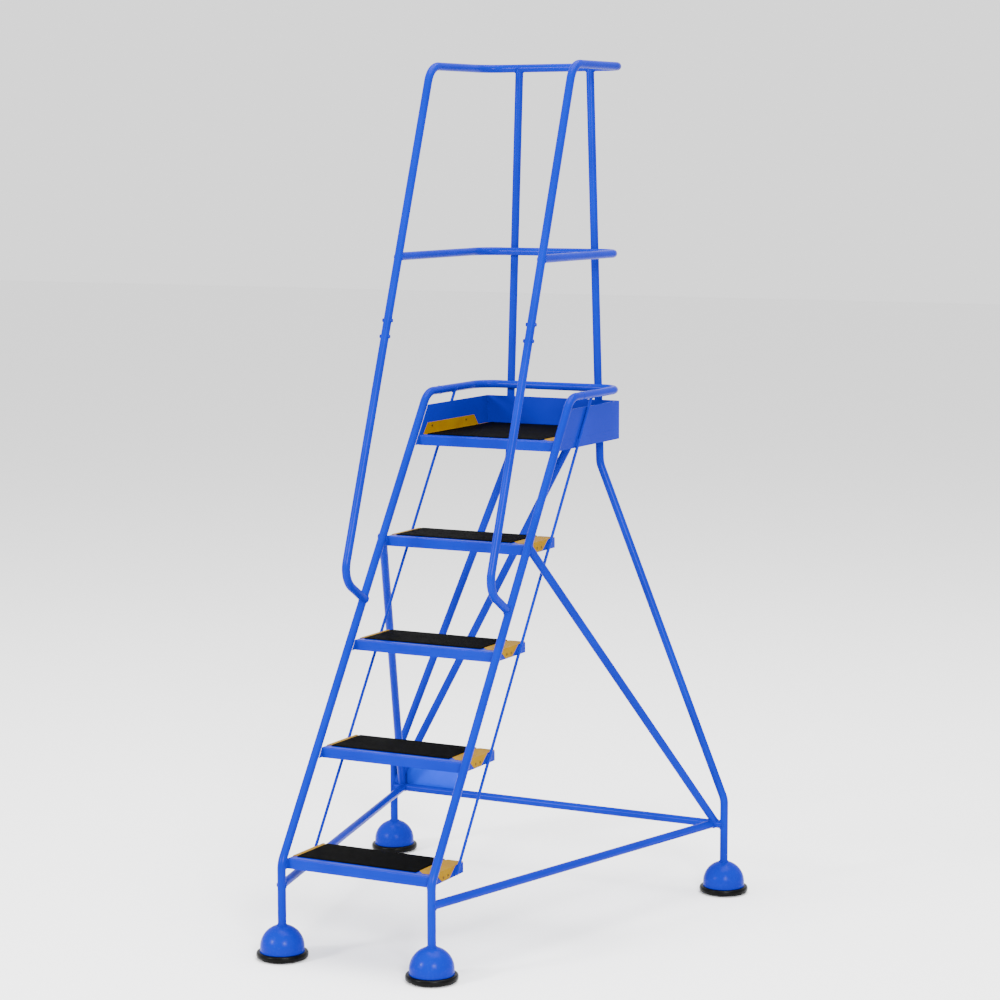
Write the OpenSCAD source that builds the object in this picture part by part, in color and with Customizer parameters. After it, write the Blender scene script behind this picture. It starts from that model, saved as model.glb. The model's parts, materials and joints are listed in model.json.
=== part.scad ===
// Mobile warehouse steps: four treads and a platform on a welded tube frame, with a full handrail.
// Each domed foot hides a sprung swivel castor. The castors carry the steps until someone stands on
// them; then they retract and the rubber floor rings take the weight.
// +X is the climber's right, +Y runs from the front to the back, +Z is up. The origin is on the floor,
// in the middle of the base, and the wheels touch the floor at Z = 0.

/* [Steps] */
// Height of the first tread above the floor
first_tread_h = 260; // [250:1:300]
// Height from one tread to the next
tread_rise = 252.5; // [230:0.5:270]
// Lean of the stiles from upright, in degrees
stile_lean = 34; // [30:1:38]
// Distance between the centres of the two stiles
stile_spacing = 432; // [380:1:520]
// Depth of a tread from front to back
tread_depth = 171; // [150:1:200]
// Height of the bend in the front legs
knee_h = 245; // [240:1:250]

/* [Tube] */
// Outer diameter of the frame tube
tube_d = 22; // [20:1:27]
// Wall of the frame tube
tube_wall = 2; // [1.5:0.1:2]
// Radius of the tube bends, to the tube's centre line
bend_r = 60; // [50:1:70]
// Diameter of the tie rods
rod_d = 8; // [6:1:10]

/* [Rails] */
// Distance of the handrails' centres inside the stiles' centres
handrail_inset = 4; // [0:0.5:6]
// Lean of the handrails from upright, in degrees
handrail_lean = 19.75; // [15:0.25:24]
// Height of the top rail's centre above the platform
top_rail_rise = 980; // [900:1:1100]
// Height of the mid rail's centre above the platform
mid_rail_rise = 478; // [420:1:540]
// Height of the hoop rail's centre above the platform
hoop_rise = 108; // [100:1:130]
// Distance of the handrails in front of the stiles, at the height of the tread before the platform
handrail_lead = 178; // [160:1:200]
// Height above the third tread at which the handrails' feet meet the stiles
handrail_foot_rise = 94; // [80:1:110]
// Lean of the handrails' feet from upright, in degrees
handrail_foot_lean = 58; // [50:1:62]
// Height of the sleeve joint of the handrails above the platform
joint_rise = 292; // [200:1:380]

/* [Rear frame] */
// Distance from the front feet back to the rear frame
base_depth = 1100; // [1060:1:1180]
// Half the distance between the rear legs at the top rail
rear_top_x = 108; // [90:1:140]
// Half the distance between the rear legs at their upper bend
rear_waist_x = 141.5; // [120:0.5:160]
// Height of the upper bend of the rear legs below the platform
rear_waist_drop = 101; // [90:1:140]
// Half the distance between the rear feet
rear_foot_x = 521.5; // [450:0.5:600]
// Height of the lower bend of the rear legs
rear_ankle_h = 260; // [255:1:300]
// Height of the base rails and of the rear cross rail
base_rail_h = 189; // [180:1:195]
// Distance from a rear foot in to the base rail's end
base_rail_inset = 32; // [28:1:45]
// Drop from the fourth tread to where the side braces meet the stiles
side_brace_drop = 4.5; // [0:0.5:60]

/* [Sheet metal] */
// Thickness of the tread, platform and toe board sheet
sheet_t = 2; // [1.5:0.1:2.5]
// Height of the folded lips
lip_h = 27; // [22:1:32]
// Height of the toe board above the platform's deck
toe_board_h = 78; // [70:1:100]
// Thickness of the rubber mats
mat_t = 3; // [2:0.5:4]
// Width of sheet that the mats leave free at their two ends together
mat_side_room = 66; // [50:1:90]
// Distance by which the mats lie left of centre
mat_shift = 19; // [0:1:20]
// Setback of a mat from the front edge
mat_setback = 22; // [15:1:30]
// Thickness of the yellow guards
guard_t = 1.2; // [1:0.1:1.5]

/* [Feet] */
// Outer diameter of the domes
dome_d = 113; // [108:1:120]
// Height of the domes
dome_h = 73; // [70:1:80]
// Distance by which the rubber floor rings stand out beyond the domes
ring_w = 10; // [8:0.5:14]
// Height of the rubber floor rings
ring_h = 15; // [12:1:18]
// Gap under the floor rings while nobody stands on the steps, which is the castors' travel
ring_gap = 5; // [4:0.5:6]
// Diameter of the castor wheels
wheel_d = 50; // [46:1:50]
// Width of the castor wheels
wheel_w = 18; // [16:1:20]
// Distance of the wheel's axle behind its swivel
trail = 18; // [16:1:19]
// Diameter of the castor spindles
spindle_d = 12; // [11:0.5:12]
// Radial clearance of the sliding and turning fits
fit_gap = 0.05; // [0.02:0.01:0.1]

/* [Hidden] */
$fn = 48;
eps = 0.01;
// gap that the weld beads fill where one piece is fitted to another
weld_gap = 0.12;

tube_r = tube_d / 2;
bore_r = tube_r - tube_wall;
stile_x = stile_spacing / 2;
rail_x = stile_x - handrail_inset;
rod_r = rod_d / 2;

// heights of the deck of each level; the mats lie on the decks
function deck_z(level) = first_tread_h - mat_t + (level - 1) * tread_rise;
platform_z = deck_z(5);
top_z = platform_z + mat_t + top_rail_rise;
mid_z = platform_z + mat_t + mid_rail_rise;
hoop_z = platform_z + mat_t + hoop_rise;
joint_z = platform_z + mat_t + joint_rise;
waist_z = platform_z + mat_t - rear_waist_drop;

// centre lines of the stiles and the handrails
front_y = -base_depth / 2;
rear_y = base_depth / 2;
function stile_y(z) = front_y + (z - knee_h) * tan(stile_lean);
handrail_ref_z = deck_z(4);
function handrail_y(z) = stile_y(handrail_ref_z) - handrail_lead
    + (z - handrail_ref_z) * tan(handrail_lean);

// the rear legs pass behind the hoop, the mid rail and the toe board
inner_back_y = rear_y - tube_d - weld_gap;
toe_back_y = rear_y - tube_r - weld_gap;

// treads fit between the stiles
pan_half_w = stile_x - tube_r - weld_gap;
mat_w = 2 * pan_half_w - mat_side_room;
front_lead = 5;
function nose_y(level) = stile_y(deck_z(level)) + front_lead;
platform_front_y = nose_y(5);
platform_depth = toe_back_y - platform_front_y;
rod_x = pan_half_w + rod_r + weld_gap;
// the tie rods cross the tread ends this far in front of their back edge
rod_edge = 29;
rod_lead = tread_depth + front_lead - rod_edge;
function rod_y(z) = stile_y(z) + rod_lead;

// handrail feet: the rail bends back to the stile, and its centre line meets the stile's here
handrail_foot_z = deck_z(3) + mat_t + handrail_foot_rise;
handrail_bend_z = handrail_foot_z + (stile_y(handrail_foot_z) - handrail_y(handrail_foot_z))
    / (tan(handrail_foot_lean) + tan(handrail_lean));

// base of the frame
base_end_x = rear_foot_x - base_rail_inset;
// the side braces end in the corner above the base rails
brace_end_out = 4;
brace_end_lead = 3;
brace_end_rise = 9;
brace_end = [base_end_x + brace_end_out, rear_y - brace_end_lead, base_rail_h + brace_end_rise];
hoop_joint_setback = 66;
hoop_joint_y = stile_y(hoop_z) + hoop_joint_setback;

// feet
ring_low = ring_gap;
rim_z = ring_low + 8;
dome_r = dome_d / 2;
dome_top_z = rim_z + dome_h;
dome_wall = 2;
dome_seat_r = tube_r + 1.5;
// the domes are flat where the leg tube stands on them
leg_bottom_z = dome_top_z + weld_gap;
ring_r = dome_r + ring_w;
ring_grip = 5.5;
ring_in_r = dome_r - ring_grip;

// castors
wheel_r = wheel_d / 2;
spindle_r = spindle_d / 2;
stud_r = spindle_r - 1;
fork_plate_t = 3;
fork_plate_z = wheel_d + 4;
fork_in_w = wheel_w + 2;
fork_side_t = 2.5;
axle_r = 4;
bush_h = 30;
bush_low_z = leg_bottom_z + 2;
bush_top_z = bush_low_z + bush_h;
bush_flange_t = 3;
bush_flange_z = dome_top_z - dome_wall - weld_gap - bush_flange_t;
head_t = 5;
head_r = bore_r - 0.5;
seat_gap = 0.1;
spring_low_z = bush_top_z + seat_gap + head_t + seat_gap;
spring_h = 50;
stop_low_z = spring_low_z + spring_h + seat_gap;
stop_h = 12;
wire_r = 1.1;
coil_turns = 7;

// yellow guards
leaf_lead = 27;
leaf_len = 101;
leaf_slant = 32;
// the platform's leaves end this far in front of the platform's back edge
platform_leaf_back = 58.5;
platform_leaf_len = platform_depth - mat_setback - platform_leaf_back;
platform_leaf_h = 30;
platform_leaf_slant = 25;
guard_chamfer = 18;
rivet_head_r = 3.6;
rivet_head_t = 1.1;
rivet_pitch = 24;

// sign plate
plate_w = 224;
plate_h = 120;
plate_t = 1.5;
plate_corner = 8;

// places of the feet: front left, front right, rear left, rear right
feet = [[-stile_x, front_y], [stile_x, front_y], [-rear_foot_x, rear_y], [rear_foot_x, rear_y]];

blue = [0.14, 0.36, 0.80];
rubber = [0.05, 0.05, 0.06];
yellow = [0.93, 0.74, 0.05];
steel = [0.70, 0.71, 0.73];
nylon = [0.90, 0.89, 0.84];

// ---------- vectors ----------
function unit(v) = v / norm(v);
function turn_angle(u, v) = acos(u * v);

// ---------- tube work ----------
// a round bar from a to b, lengthened by extra at both ends
module bar(a, b, r, extra = 0) {
    w = unit(b - a);
    side = abs(w[2]) < 0.9 ? unit(cross([0, 0, 1], w)) : unit(cross([0, 1, 0], w));
    up = cross(w, side);
    multmatrix([[side[0], up[0], w[0], a[0]], [side[1], up[1], w[1], a[1]],
        [side[2], up[2], w[2], a[2]]])
        translate([0, 0, -extra]) cylinder(r = r, h = norm(b - a) + 2 * extra);
}

// the bend between two straight lengths that meet at b
module elbow(a, b, c, r, bend) {
    u = unit(b - a);
    v = unit(c - b);
    turn = turn_angle(u, v);
    start = b - u * bend * tan(turn / 2);
    n = unit(v - u * (u * v));
    o = start + n * bend;
    w = cross(-n, u);
    multmatrix([[-n[0], u[0], w[0], o[0]], [-n[1], u[1], w[1], o[1]], [-n[2], u[2], w[2], o[2]]])
        rotate_extrude(angle = turn) translate([bend, 0]) circle(r = r);
}

// length taken by the bend at point i of a path
function trim_at(p, i, bend) = (i == 0 || i == len(p) - 1) ? 0
    : bend * tan(turn_angle(unit(p[i] - p[i - 1]), unit(p[i + 1] - p[i])) / 2);

// a solid bar along a path of points, bent at each inner point; the bends are a hair thicker than
// the straight lengths, which reach a little way into them
bend_swell = 0.15;
bend_lap = 0.6;
module bent_bar(p, r, bend, extra = 0) {
    for (i = [0 : len(p) - 2]) {
        u = unit(p[i + 1] - p[i]);
        a = p[i] + u * (trim_at(p, i, bend) - (i == 0 ? extra : bend_lap));
        b = p[i + 1] - u * (trim_at(p, i + 1, bend) - (i == len(p) - 2 ? extra : bend_lap));
        bar(a, b, r);
    }
    if (len(p) > 2) for (i = [1 : len(p) - 2])
        elbow(p[i - 1], p[i], p[i + 1], r + bend_swell, bend);
}

module bent_tube(p, bend = bend_r) {
    difference() {
        bent_bar(p, tube_r, bend);
        bent_bar(p, bore_r, bend, 1);
    }
}

// the space that a straight frame tube from a to b takes up, with the weld gap round it
module tube_space(a, b) bar(a, b, tube_r + weld_gap, tube_d);

module both_sides() {
    children();
    mirror([1, 0, 0]) children();
}

// ---------- centre lines, right-hand side ----------
knee = [stile_x, front_y, knee_h];
hoop_bend = [stile_x, stile_y(hoop_z), hoop_z];
front_foot = [stile_x, front_y, leg_bottom_z];
stile_path = [front_foot, knee, hoop_bend, [stile_x, hoop_joint_y, hoop_z]];
handrail_bend = [rail_x, handrail_y(handrail_bend_z), handrail_bend_z];
// a tube's width past the stile's centre line
handrail_foot_dir = [0, sin(handrail_foot_lean), -cos(handrail_foot_lean)];
handrail_foot = [rail_x, stile_y(handrail_foot_z), handrail_foot_z] + handrail_foot_dir * tube_d;
handrail_joint = [rail_x, handrail_y(joint_z), joint_z];
rail_top = [rail_x, handrail_y(top_z), top_z];
rear_top = [rear_top_x, rear_y, top_z];
rear_waist = [rear_waist_x, rear_y, waist_z];
rear_ankle = [rear_foot_x, rear_y, rear_ankle_h];
rear_foot = [rear_foot_x, rear_y, leg_bottom_z];
base_front = [stile_x, front_y, base_rail_h];
base_end = [base_end_x, rear_y, base_rail_h];
brace_top_z = deck_z(4) + mat_t - side_brace_drop;
brace_top = [stile_x, stile_y(brace_top_z), brace_top_z];
mid_front = [rail_x, handrail_y(mid_z), mid_z];

// ---------- stiles and hoop ----------
module stile() color(blue) bent_tube(stile_path);
module right_stile() stile();
module left_stile() mirror([1, 0, 0]) stile();

module hoop_rail() color(blue)
    bent_tube([[-stile_x, hoop_joint_y + weld_gap, hoop_z], [-stile_x, inner_back_y, hoop_z],
        [stile_x, inner_back_y, hoop_z], [stile_x, hoop_joint_y + weld_gap, hoop_z]]);

// ---------- handrail ----------
sleeve_r = bore_r - 0.15;
sleeve_half = 40;
bolt_r = 3;
bolt_drop = 22;
rail_dir = unit(rail_top - handrail_joint);

// the bolt holes through both sides of a handrail, above and below the joint
module bolt_holes(r) for (s = [-1, 1])
    translate(handrail_joint + rail_dir * s * bolt_drop) rotate([0, 90, 0])
        cylinder(r = r, h = 2 * tube_d, center = true);

module handrail_foot() color(blue) difference() {
    bent_tube([handrail_foot, handrail_bend, handrail_joint - rail_dir * weld_gap]);
    tube_space(knee, hoop_bend);
    behind_stile();
    bolt_holes(bolt_r + 0.2);
}

// everything behind the stiles' centre lines, which the handrail's feet are cut back from
module behind_stile() translate([0, front_y, knee_h]) rotate([-stile_lean, 0, 0])
    cube([stile_spacing, stile_spacing, base_depth]);

module right_handrail_foot() handrail_foot();
module left_handrail_foot() mirror([1, 0, 0]) handrail_foot();

module handrail_loop() color(blue) difference() {
    bent_tube([mirror_x(handrail_joint + rail_dir * weld_gap), mirror_x(rail_top),
        [-rail_x, rear_y, top_z], [rail_x, rear_y, top_z], rail_top,
        handrail_joint + rail_dir * weld_gap]);
    both_sides() bolt_holes(bolt_r + 0.2);
}

function mirror_x(p) = [-p[0], p[1], p[2]];

module handrail_sleeves() color(steel) both_sides() difference() {
    bar(handrail_joint - rail_dir * sleeve_half, handrail_joint + rail_dir * sleeve_half, sleeve_r);
    bar(handrail_joint - rail_dir * sleeve_half, handrail_joint + rail_dir * sleeve_half,
        sleeve_r - tube_wall, 1);
    bolt_holes(bolt_r + 0.2);
}

// button-headed bolts, heads on the climber's side
bolt_head_r = 5;
bolt_head_t = 3;
module handrail_bolts() color(steel) both_sides() for (s = [-1, 1])
    translate(handrail_joint + rail_dir * s * bolt_drop) rotate([0, 90, 0]) {
        translate([0, 0, -tube_r - 0.1 - bolt_head_t]) cylinder(r = bolt_head_r, h = bolt_head_t);
        translate([0, 0, -tube_r - 0.1 - eps]) cylinder(r = bolt_r, h = tube_d + 0.2 + eps);
        translate([0, 0, tube_r + 0.1]) cylinder(r = bolt_head_r, h = bolt_head_t);
    }

module mid_rail() color(blue) difference() {
    bent_tube([mirror_x(mid_front), [-rail_x, inner_back_y, mid_z], [rail_x, inner_back_y, mid_z],
        mid_front]);
    both_sides() tube_space(handrail_bend, rail_top);
}

// ---------- rear frame ----------
module rear_leg() color(blue) difference() {
    bent_tube([rear_top, rear_waist, rear_ankle, rear_foot]);
    tube_space([-rail_x, rear_y, top_z], [rail_x, rear_y, top_z]);
    // the tube's end above the top rail's centre
    translate([0, rear_y - tube_d, top_z]) cube([rail_x, 2 * tube_d, tube_d]);
}
module right_rear_leg() rear_leg();
module left_rear_leg() mirror([1, 0, 0]) rear_leg();

module rear_cross_rail() color(blue) difference() {
    bent_tube([mirror_x(base_cross_end), base_cross_end]);
    both_sides() tube_space(rear_foot, rear_ankle);
}
base_cross_end = [rear_foot_x, rear_y, base_rail_h];

module base_rail() color(blue) difference() {
    bent_tube([base_front, base_end]);
    tube_space(front_foot, knee);
    tube_space(mirror_x(base_cross_end), base_cross_end);
    // what would reach past the cross rail's centre line or the leg's
    translate([0, rear_y, 0]) cube([rear_foot_x, tube_d, 2 * base_rail_h]);
    translate([0, front_y - tube_d, 0]) cube([stile_spacing, tube_d, 2 * base_rail_h]);
}
module right_base_rail() base_rail();
module left_base_rail() mirror([1, 0, 0]) base_rail();

module side_brace() color(blue) difference() {
    bent_tube([brace_top, brace_end]);
    tube_space(knee, hoop_bend);
    tube_space(base_front, base_end);
    tube_space(mirror_x(base_cross_end), base_cross_end);
    tube_space(rear_foot, rear_ankle);
    // what would reach through the base rail or past the stile
    translate([0, rear_y - 4 * tube_d, 0]) cube([rear_foot_x, 5 * tube_d, base_rail_h]);
    brace_waste();
}
// everything in front of the stile's centre line near the brace's end
module brace_waste()
    translate(brace_top) rotate([-stile_lean, 0, 0])
        translate([-tube_d, -2 * tube_d, -2 * tube_d]) cube([2 * tube_d, 2 * tube_d, 4 * tube_d]);
module right_side_brace() side_brace();
// the left one stops at the rear diagonal brace
module left_side_brace() color(blue) difference() {
    mirror([1, 0, 0]) side_brace();
    tube_space(diagonal_low, diagonal_top);
}

// from the corner of the left rear leg up to the back of the platform's underside
diagonal_low_in = 12;
diagonal_low_rise = 14;
diagonal_low = [-rear_foot_x + diagonal_low_in, rear_y, base_rail_h + diagonal_low_rise];
// it leans back a little, so its upper end keeps this far from the platform's back lip
diagonal_lip_gap = 0.8;
diagonal_top_x = 84;
diagonal_top = [diagonal_top_x, toe_back_y - sheet_t - tube_r - diagonal_lip_gap, platform_z - sheet_t];
module rear_diagonal_brace() color(blue) difference() {
    bent_tube([diagonal_low, diagonal_top + unit(diagonal_top - diagonal_low) * tube_d]);
    translate([-stile_x, rear_y - stile_spacing, platform_z - sheet_t - weld_gap])
        cube([stile_spacing, stile_spacing, stile_spacing]);
    mirror([1, 0, 0]) tube_space(rear_foot, rear_ankle);
    mirror([1, 0, 0]) tube_space(rear_ankle, rear_waist);
    tube_space(mirror_x(base_cross_end), base_cross_end);
    // what would reach past the leg or under the cross rail
    translate([-rear_foot_x - tube_d, rear_y - tube_d, 0]) cube([tube_d, 2 * tube_d, 2 * base_rail_h]);
    translate([-rear_foot_x, rear_y - tube_d, 0]) cube([3 * tube_d, 2 * tube_d, base_rail_h]);
}

// ---------- tie rods ----------
// the rods end this far above the lower edge of the first tread
rod_end_rise = 4;
rod_low_z = deck_z(1) - lip_h + rod_end_rise;
module tie_rod() color(blue) difference() {
    bar([rod_x, rod_y(rod_low_z), rod_low_z], [rod_x, rod_y(hoop_z), hoop_z], rod_r);
    tube_space([stile_x, hoop_joint_y, hoop_z], [stile_x, inner_back_y - bend_r, hoop_z]);
    translate([rod_x - tube_d, front_y, hoop_z]) cube([2 * tube_d, base_depth, tube_d]);
}
module right_tie_rod() tie_rod();
module left_tie_rod() mirror([1, 0, 0]) tie_rod();

// ---------- treads ----------
// a folded pan, open underneath: deck, front and back lips and end plates
fold_r = 3;
module pan(depth) difference() {
    translate([-pan_half_w, 0, 0]) rotate([90, 0, 90]) linear_extrude(2 * pan_half_w)
        pan_outline(depth);
    translate([-pan_half_w + sheet_t, sheet_t, -lip_h - 1])
        cube([2 * (pan_half_w - sheet_t), depth - 2 * sheet_t, lip_h + 1 - sheet_t]);
}
// the pan's side view, rounded along its front and back folds
module pan_outline(depth) {
    translate([0, -lip_h]) square([depth, lip_h - fold_r]);
    translate([fold_r, -fold_r - eps]) square([depth - 2 * fold_r, fold_r + eps]);
    for (y = [fold_r, depth - fold_r]) translate([y, -fold_r]) circle(r = fold_r);
}

module tread(level) color(blue)
    translate([0, nose_y(level), deck_z(level)]) pan(tread_depth);
module tread_1() tread(1);
module tread_2() tread(2);
module tread_3() tread(3);
module tread_4() tread(4);

mat_edge_gap = 0.3;
module mat(level, width, depth) color(rubber)
    translate([-width / 2 - mat_shift, nose_y(level) + mat_setback, deck_z(level)])
        cube([width, depth, mat_t]);
mat_back_gap = 1;
module tread_mat(level) mat(level, mat_w, tread_depth - mat_setback - mat_back_gap);
module tread_mat_1() tread_mat(1);
module tread_mat_2() tread_mat(2);
module tread_mat_3() tread_mat(3);
module tread_mat_4() tread_mat(4);

// ---------- yellow guards ----------
// the top strip of a guard, between the mat and the sheet's end; s is the side, 1 on the right
function guard_in_x(s) = mat_w / 2 - s * mat_shift + mat_edge_gap;
module guard_strip(s, out_x, depth) {
    in_x = guard_in_x(s);
    front = min(guard_chamfer, out_x - in_x - 2);
    back = min(guard_chamfer / 2, out_x - in_x - 2);
    translate([0, mat_setback, 0]) linear_extrude(guard_t) polygon([[in_x, front],
        [in_x + front, 0], [out_x, 0], [out_x, depth], [in_x + back, depth], [in_x, depth - back]]);
}
// a leaf that stands on its long edge at z = 0 and is narrower along its free edge
module guard_leaf(len, free_z, slant) rotate([90, 0, 90]) linear_extrude(guard_t)
    polygon([[0, 0], [len, 0], [len - slant, free_z], [slant, free_z]]);

// drawn for the right end of a tread: the leaf folds down over the end plate
leaf_x = pan_half_w + 0.1;
leaf_drop = lip_h - 2;
module tread_guard(s, level) translate([0, nose_y(level), deck_z(level)]) {
    guard_strip(s, pan_half_w, tread_depth - mat_setback - mat_back_gap);
    translate([pan_half_w - 1, leaf_lead, 0]) cube([leaf_x + guard_t - pan_half_w + 1, leaf_len, guard_t]);
    translate([leaf_x, leaf_lead, eps]) guard_leaf(leaf_len, -leaf_drop, leaf_slant);
}
module tread_guards(s) color(yellow) for (level = [1 : 4]) tread_guard(s, level);
module tread_guards_right() tread_guards(1);
module tread_guards_left() mirror([1, 0, 0]) tread_guards(-1);

// drawn for the right side of the platform: the leaf folds up inside the toe board
platform_leaf_x = pan_half_w - sheet_t - 0.1 - guard_t;
platform_guard_depth = platform_depth - sheet_t - mat_setback - mat_back_gap;
module platform_guard(s) translate([0, platform_front_y, platform_z]) {
    guard_strip(s, platform_leaf_x + guard_t, platform_guard_depth);
    translate([platform_leaf_x, mat_setback, 0])
        guard_leaf(platform_leaf_len, platform_leaf_h, platform_leaf_slant);
}
module platform_guards() color(yellow) {
    platform_guard(1);
    mirror([1, 0, 0]) platform_guard(-1);
}

// ---------- platform ----------
module platform_pan() color(blue)
    translate([0, platform_front_y, platform_z]) pan(platform_depth);
module platform_mat() mat(5, mat_w, platform_guard_depth);

// three sides of sheet that stand on the platform, cut to the stiles' lean at the front
toe_low_z = platform_z + weld_gap;
toe_top_z = platform_z + toe_board_h;
module toe_side() difference() {
    translate([pan_half_w - sheet_t, platform_front_y, toe_low_z])
        cube([sheet_t, toe_back_y - platform_front_y, toe_top_z - toe_low_z]);
    translate([0, platform_front_y, toe_low_z]) rotate([-stile_lean, 0, 0])
        translate([0, -stile_spacing, -toe_board_h])
            cube([stile_spacing, stile_spacing, 4 * toe_board_h]);
}
module toe_board() color(blue) {
    toe_side();
    mirror([1, 0, 0]) toe_side();
    translate([-pan_half_w, toe_back_y - sheet_t, toe_low_z])
        cube([2 * pan_half_w, sheet_t, toe_top_z - toe_low_z]);
}

// ---------- rivets ----------
rivet_gap = 0.05;
// a rivet head on a face at x = 0, facing +X
module rivet_head() translate([rivet_gap, 0, 0]) rotate([0, 90, 0])
    cylinder(r1 = rivet_head_r, r2 = rivet_head_r * 0.6, h = rivet_head_t);
rivet_up = 9;
tread_rivet_lead = 66;
platform_rivet_lead = 70;
platform_rivet_pitch = 193;
platform_rivet_up = 20;
module rivets_tread() for (level = [1 : 4], k = [0, 1])
    translate([leaf_x + guard_t, nose_y(level) + tread_rivet_lead + k * rivet_pitch,
        deck_z(level) - leaf_drop + rivet_up]) rivet_head();
module rivets_platform() for (k = [0, 1])
    translate([platform_leaf_x, platform_front_y + platform_rivet_lead + k * platform_rivet_pitch,
        platform_z + platform_rivet_up]) mirror([1, 0, 0]) rivet_head();
// the sign plate's rivets: two into the left rear leg, two into the cross rail
module rivets_plate() {
    leg_rivets = [for (k = [1 / 4, 1 / 2]) [-rear_foot_x, base_rail_h + plate_h * k]];
    rail_rivets = [for (k = [0.4, 0.9]) [plate_x + plate_w * k, base_rail_h]];
    for (p = concat(leg_rivets, rail_rivets))
        translate([p[0], plate_y + plate_t, p[1]]) rotate([0, 0, 90]) rivet_head();
}
module rivets() color(steel) {
    both_sides() rivets_tread();
    both_sides() rivets_platform();
    rivets_plate();
}

// ---------- sign plate ----------
plate_x = -rear_foot_x - 6;
plate_y = rear_y + tube_r + weld_gap;
plate_z = base_rail_h - 5;
module sign_plate() color(blue) translate([plate_x, plate_y + plate_t, plate_z])
    rotate([90, 0, 0]) linear_extrude(plate_t) {
        translate([plate_corner, 0]) square([plate_w - 2 * plate_corner, plate_h]);
        translate([0, plate_corner]) square([plate_w, plate_h - 2 * plate_corner]);
        for (x = [plate_corner, plate_w - plate_corner], z = [plate_corner, plate_h - plate_corner])
            translate([x, z]) circle(r = plate_corner);
    }

// ---------- feet ----------
module at_feet() for (f = feet) translate([f[0], f[1], 0]) children();

// side view of a dome: a straight skirt below a half round, flat where the leg stands
module dome_profile(r, top) intersection() {
    union() {
        square([r, top - r]);
        translate([0, top - r]) circle(r = r);
    }
    square([r, top]);
}
dome_flat = dome_r - sqrt(dome_r * dome_r - dome_seat_r * dome_seat_r);
module foot_domes() color(blue) at_feet() translate([0, 0, rim_z]) rotate_extrude($fn = 96)
    difference() {
        intersection() {
            dome_profile(dome_r, dome_h + dome_flat);
            square([dome_r, dome_h]);
        }
        intersection() {
            dome_profile(dome_r - dome_wall, dome_h + dome_flat - dome_wall);
            square([dome_r, dome_h - dome_wall]);
        }
        translate([0, dome_h - 2 * dome_wall]) square([bore_r, 3 * dome_wall]);
    }

// rubber section gripping the dome's rim
rim_groove = 0.15;
module floor_rings() color(rubber) at_feet() rotate_extrude($fn = 96) difference() {
    ring_section();
    translate([dome_r - dome_wall - rim_groove, rim_z - rim_groove])
        square([dome_wall + 2 * rim_groove, ring_h]);
}
ring_round = 6;
module ring_section() {
    translate([ring_in_r, ring_low]) square([ring_r - ring_round - ring_in_r, ring_h - 1.5]);
    translate([ring_r - ring_round - eps, ring_low + ring_h / 2]) intersection() {
        circle(r = ring_h / 2);
        translate([0, -ring_h / 2]) square([ring_round, ring_h]);
    }
}

// flanged nylon bushes that guide the spindles in the leg tubes
module guide_bushes() color(nylon) at_feet() difference() {
    union() {
        translate([0, 0, bush_flange_z]) cylinder(r = bore_r - 0.1, h = bush_top_z - bush_flange_z);
        translate([0, 0, bush_flange_z]) cylinder(r = dome_seat_r - 1, h = bush_flange_t);
    }
    translate([0, 0, bush_flange_z - 1])
        cylinder(r = spindle_r + fit_gap, h = bush_top_z - bush_flange_z + 2);
}

module spring_stops() color(steel) at_feet() translate([0, 0, stop_low_z]) difference() {
    cylinder(r = bore_r - 0.1, h = stop_h);
    translate([0, 0, -1]) cylinder(r = 3, h = stop_h + 2);
}

// ---------- castors, drawn at the origin ----------
function coil_point(t) = let (r = head_r - wire_r - 0.2)
    [r * cos(360 * t), r * sin(360 * t), wire_r + (spring_h - 2 * wire_r) * t / coil_turns];
wire_sides = 6;
rings_per_turn = 12;
module coil_spring() {
    n = coil_turns * rings_per_turn;
    points = [for (i = [0 : n]) let (t = i / rings_per_turn, p = coil_point(t),
            out = [cos(360 * t), sin(360 * t), 0])
        for (k = [0 : wire_sides - 1]) let (a = 360 * k / wire_sides)
            p + wire_r * (cos(a) * out + sin(a) * [0, 0, 1])];
    sides = [for (i = [0 : n - 1], k = [0 : wire_sides - 1]) let (j = (k + 1) % wire_sides)
        [i * wire_sides + k, i * wire_sides + j, (i + 1) * wire_sides + j, (i + 1) * wire_sides + k]];
    first = [for (k = [wire_sides - 1 : -1 : 0]) k];
    last = [for (k = [0 : wire_sides - 1]) n * wire_sides + k];
    polyhedron(points, concat([first], sides, [last]));
}
module spring() color(steel) translate([0, 0, spring_low_z]) coil_spring();

shoulder_z = fork_plate_z + fork_plate_t + 0.15;
stud_head_t = 3.4;
module spindle() color(steel) {
    translate([0, 0, shoulder_z]) cylinder(r = spindle_r, h = bush_top_z + seat_gap - shoulder_z + eps);
    translate([0, 0, bush_top_z + seat_gap]) cylinder(r = head_r, h = head_t);
    translate([0, 0, fork_plate_z - 0.15 - eps]) cylinder(r = stud_r, h = fork_plate_t + 0.5);
    translate([0, 0, fork_plate_z - 0.15 - stud_head_t]) cylinder(r = stud_r + 3, h = stud_head_t);
}

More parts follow.
